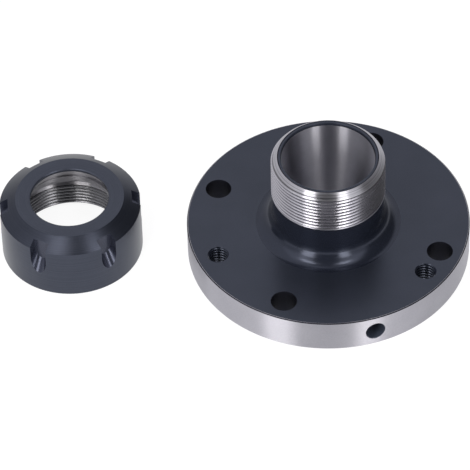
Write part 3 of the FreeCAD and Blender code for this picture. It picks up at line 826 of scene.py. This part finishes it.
OVERRUN, NUT_THREAD_SHORT, NOSE_DRAW_BACK = 1.2, 0.3, 1.0
cut_thread(chuck, THREAD_R, GROOVE_HIGH, NOSE_TOP + OVERRUN, BODY_AXIS, body_thread, True,
           NOSE_DRAW_BACK)
cut_thread(nut, NUT_BORE_R, -OVERRUN, NUT_THREAD_LENGTH - NUT_THREAD_SHORT, NUT_AXIS, nut_thread,
           False)

# %% [markdown]
# Facets that meet at a small angle are one curved surface, and the shading runs over
# them. Those that meet at a large angle are a real edge and stay crisp.

# %% Smooth shading with crisp edges
EDGE_ANGLE = math.radians(28)
for piece in (chuck, nut):
    piece.data.polygons.foreach_set("use_smooth", [True] * len(piece.data.polygons))
    piece.data.set_sharp_from_angle(angle=EDGE_ANGLE)
    piece.data.update()
    triangles = sum(len(polygon.vertices) - 2 for polygon in piece.data.polygons)
    print(piece.name, triangles, "triangles,", len(piece.data.materials), "finishes")

# %% [markdown]
# ## Studio
# The floor is plain and white. Two tall soft boxes stand in front, left and right of the
# camera. The sky is the room round them: white walls behind and to the left, a bright
# fill on the right, and dark gaps between. Bright metal is only as interesting as what it
# mirrors, and the boxes draw the two bright bands on every turned surface. Under a bore
# the floor lies in the part's own shadow, so there it shows darker in the metal.

# %% Floor
FLOOR_LEVEL, FLOOR_HALF_SIZE = -0.02, 8000.0
FLOOR_LIT, FLOOR_SHADE, FLOOR_GLOW = (0.85, 0.85, 0.86, 1), (0.16, 0.16, 0.165, 1), 0.90
BORE_SHADES = [(BODY_AXIS, REGISTER_R, 0.08), (NUT_AXIS, NUT_BORE_R, 0.25)]
SHADE_EDGE = 3.0


def floor_material():
    """White floor. Rays other than the camera's and mirrored ones see it as plain paper."""
    material = bpy.data.materials.new("white floor")
    material.use_nodes = True
    tree = material.node_tree
    tree.nodes.clear()
    output = tree.nodes.new("ShaderNodeOutputMaterial")
    plain = add_node(tree, "ShaderNodeBsdfDiffuse", {"Color": FLOOR_LIT})
    soft = add_node(tree, "ShaderNodeBsdfDiffuse", {"Color": FLOOR_SHADE})
    glow = add_node(tree, "ShaderNodeEmission", {"Strength": FLOOR_GLOW})
    white = add_node(tree, "ShaderNodeAddShader", {0: soft.outputs[0], 1: glow.outputs[0]})
    path = add_node(tree, "ShaderNodeLightPath")
    place = add_node(tree, "ShaderNodeTexCoord").outputs["Object"]
    # Painted shadow: for mirrored rays the floor is darker under each bore, down to the share given
    # for it.
    open_floor = 1.0
    for axis, radius, share in BORE_SHADES:
        reach = add_node(tree, "ShaderNodeVectorMath", {0: place, 1: axis * MM},
                         operation="DISTANCE")
        outside = add_node(tree, "ShaderNodeMapRange",
                           {"Value": reach.outputs["Value"], "From Min": (radius - SHADE_EDGE) * MM,
                            "From Max": radius * MM, "To Min": share})
        open_floor = math_node(tree, "MULTIPLY", outside.outputs[0], open_floor)
    mirrored = math_node(tree, "MULTIPLY", path.outputs["Is Glossy Ray"], open_floor)
    seen = math_node(tree, "ADD", path.outputs["Is Camera Ray"], mirrored)
    seen = math_node(tree, "ADD", seen, path.outputs["Is Transmission Ray"])
    mix = add_node(tree, "ShaderNodeMixShader", {0: seen, 1: plain.outputs[0], 2: white.outputs[0]})
    below = add_node(tree, "ShaderNodeNewGeometry").outputs["Backfacing"]
    below = math_node(tree, "MULTIPLY", below, path.outputs["Is Camera Ray"])
    clear = add_node(tree, "ShaderNodeBsdfTransparent")
    shown = add_node(tree, "ShaderNodeMixShader", {0: below, 1: mix.outputs[0], 2: clear.outputs[0]})
    tree.links.new(shown.outputs[0], output.inputs[0])
    return material


def make_floor():
    """Floor a hair below the parts. From below it's clear, so their undersides show."""
    mesh = bpy.data.meshes.new("floor")
    ends = (-1, -1), (1, -1), (1, 1), (-1, 1)
    corners = [Vector((x * FLOOR_HALF_SIZE, y * FLOOR_HALF_SIZE, FLOOR_LEVEL)) * MM for x, y in ends]
    mesh.from_pydata(corners, [], [(0, 1, 2, 3)])
    mesh.materials.append(floor_material())
    floor = bpy.data.objects.new("floor", mesh)
    scene.collection.objects.link(floor)
    return floor


print(make_floor().name, "is part of the stage")

# %% Sky
def window(tree, value, low, high, edge):
    """1 where value lies between low and high, with soft edges."""
    rise = add_node(tree, "ShaderNodeMapRange",
                    {"Value": value, "From Min": low - edge, "From Max": low + edge},
                    interpolation_type="SMOOTHSTEP").outputs[0]
    fall = add_node(tree, "ShaderNodeMapRange",
                    {"Value": value, "From Min": high + edge, "From Max": high - edge},
                    interpolation_type="SMOOTHSTEP").outputs[0]
    return math_node(tree, "MULTIPLY", rise, fall)


# Angles run from the camera's side, in degrees, and grow to the right. Each zone has
# its two sides, the softness of its edges, its light near the floor and its light
# overhead. Between two heights (the sine of the elevation) the one becomes the other.
SKY_BASE = 0.10
SKY_ZONES = [
    ("wall beside the left box", -85, -42, 5, 0.7, 1.3),
    ("left wall", -148, -85, 8, 0.8, 0.92),
    ("back wall, left", -220, -148, 8, 1.0, 1.0),
    ("right fill", 38, 66, 6, 0.9, 1.6),
    ("back wall, right", 142, 220, 8, 1.0, 1.0),
]
CLIMB_LOW, CLIMB_HIGH = 0.35, 0.6
HORIZON_LOW, HORIZON_HIGH = 0.04, 0.14
# Towards the zenith the zones spread, as walls do when they are seen from below.
SKY_SPREAD, SPREAD_POWER = 0.5, 12.0


def make_sky():
    """World whose light depends on the direction alone."""
    world = bpy.data.worlds.new("studio")
    scene.world = world
    world.use_nodes = True
    tree = world.node_tree
    tree.nodes.clear()
    output = tree.nodes.new("ShaderNodeOutputWorld")
    direction = add_node(tree, "ShaderNodeTexCoord").outputs["Generated"]
    x, y, height = add_node(tree, "ShaderNodeSeparateXYZ", {0: direction}).outputs
    angle = math_node(tree, "ARCTAN2", x, math_node(tree, "MULTIPLY", y, -1.0))
    angle = math_node(tree, "MULTIPLY", angle, math.degrees(1))
    above = math_node(tree, "MAXIMUM", height, 0.0)
    overhead = math_node(tree, "POWER", above, SPREAD_POWER)
    spread = math_node(tree, "MULTIPLY_ADD", overhead, -SKY_SPREAD, 1.0)
    angle = math_node(tree, "MULTIPLY", angle, spread)
    climb = add_node(tree, "ShaderNodeMapRange",
                     {"Value": height, "From Min": CLIMB_LOW, "From Max": CLIMB_HIGH},
                     interpolation_type="SMOOTHSTEP").outputs[0]
    light = SKY_BASE
    for _, low, high, edge, near_floor, up_high in SKY_ZONES:
        zone = window(tree, angle, low, high, edge)
        strength = math_node(tree, "MULTIPLY_ADD", climb, up_high - near_floor,
                             near_floor - SKY_BASE)
        light = math_node(tree, "MULTIPLY_ADD", zone, strength, light)
    horizon = add_node(tree, "ShaderNodeMapRange",
                       {"Value": height, "From Min": HORIZON_HIGH, "From Max": HORIZON_LOW},
                       interpolation_type="SMOOTHSTEP").outputs[0]
    light = add_node(tree, "ShaderNodeMix", {"Factor": horizon, "A": light, "B": 1.0}).outputs[0]
    glow = add_node(tree, "ShaderNodeBackground", {"Color": (1, 0.99, 1, 1), "Strength": light})
    tree.links.new(glow.outputs[0], output.inputs[0])
    return world


print("sky:", ", ".join(zone[0] for zone in SKY_ZONES), "in", make_sky().name)

# %% Soft boxes
# Each box has the middle of its lower and its upper edge, its width, and the brightness
# of its low, middle and high third, where 1 is as bright as white paper. They stand
# close, so the nut sees them further to its right than the body does.
SOFT_BOXES = [
    ("left soft box", (-222, -328, 0), (-203, -138, 640), 146, (6.0, 1.9, 6.8)),
    ("right soft box", (160, -365, 0), (136, -148, 640), 108, (6.0, 1.8, 6.8)),
]
BOX_COLOUR = (1, 0.975, 0.94)


def make_soft_box(name, foot, head, width, thirds):
    """Panel of lamps, one above the other, that leans over the part. Its sizes are in mm."""
    foot, head = Vector(foot), Vector(head)
    up = (head - foot).normalized()
    across = Vector((up.y, -up.x, 0)).normalized()
    back = across.cross(up)
    turn = Matrix((across, up, back)).transposed().to_4x4()
    for number, brightness in enumerate(thirds):
        lamp = bpy.data.lights.new(name, "AREA")
        lamp.shape = "RECTANGLE"
        lamp.size, lamp.size_y = width * MM, (head - foot).length / len(thirds) * MM
        lamp.energy = brightness * math.pi * lamp.size * lamp.size_y
        lamp.color = BOX_COLOUR
        box = bpy.data.objects.new(name, lamp)
        scene.collection.objects.link(box)
        middle = foot.lerp(head, (number + 0.5) / len(thirds))
        box.matrix_world = Matrix.Translation(middle * MM) @ turn
        box.visible_camera = False
    return -back


for name, foot, head, width, thirds in SOFT_BOXES:
    beam = make_soft_box(name, foot, head, width, thirds)
    print(name, "shines along", [round(value, 2) for value in beam])

# %% [markdown]
# ## Camera
# The photograph was taken with a long lens from well above. The lens and the place
# follow from the flange's ellipse, the nose's height and the nut's distance from it.

# %% Camera
CAMERA_ELEVATION = math.radians(46.276)
CAMERA_DISTANCE = 1357.0
CAMERA_AIM = Vector((-33.1, 6.25, 0))
CAMERA_ROLL = math.radians(-1.639)
FOCAL_PIXELS, PICTURE_PIXELS, SENSOR = 3800, 470, 36.0
camera = bpy.data.objects.new("camera", bpy.data.cameras.new("camera"))
scene.collection.objects.link(camera)
camera.data.sensor_width = SENSOR
camera.data.lens = FOCAL_PIXELS / PICTURE_PIXELS * SENSOR
camera.data.clip_start = 0.01
to_camera = Vector((0, -math.cos(CAMERA_ELEVATION), math.sin(CAMERA_ELEVATION)))
tilt = Matrix.Rotation(math.pi / 2 - CAMERA_ELEVATION, 4, "X")
look = tilt @ Matrix.Rotation(CAMERA_ROLL, 4, "Z")
camera.matrix_world = Matrix.Translation((CAMERA_AIM + to_camera * CAMERA_DISTANCE) * MM) @ look
scene.camera = camera
scene.view_settings.view_transform = "Standard"
print("lens", round(camera.data.lens, 2), "mm at", [round(value, 3) for value in camera.location])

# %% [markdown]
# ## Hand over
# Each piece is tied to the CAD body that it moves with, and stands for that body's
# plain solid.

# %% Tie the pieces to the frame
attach(chuck, "chuck_body")
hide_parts("chuck_body")
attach(nut, "clamping_nut")
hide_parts("clamping_nut")
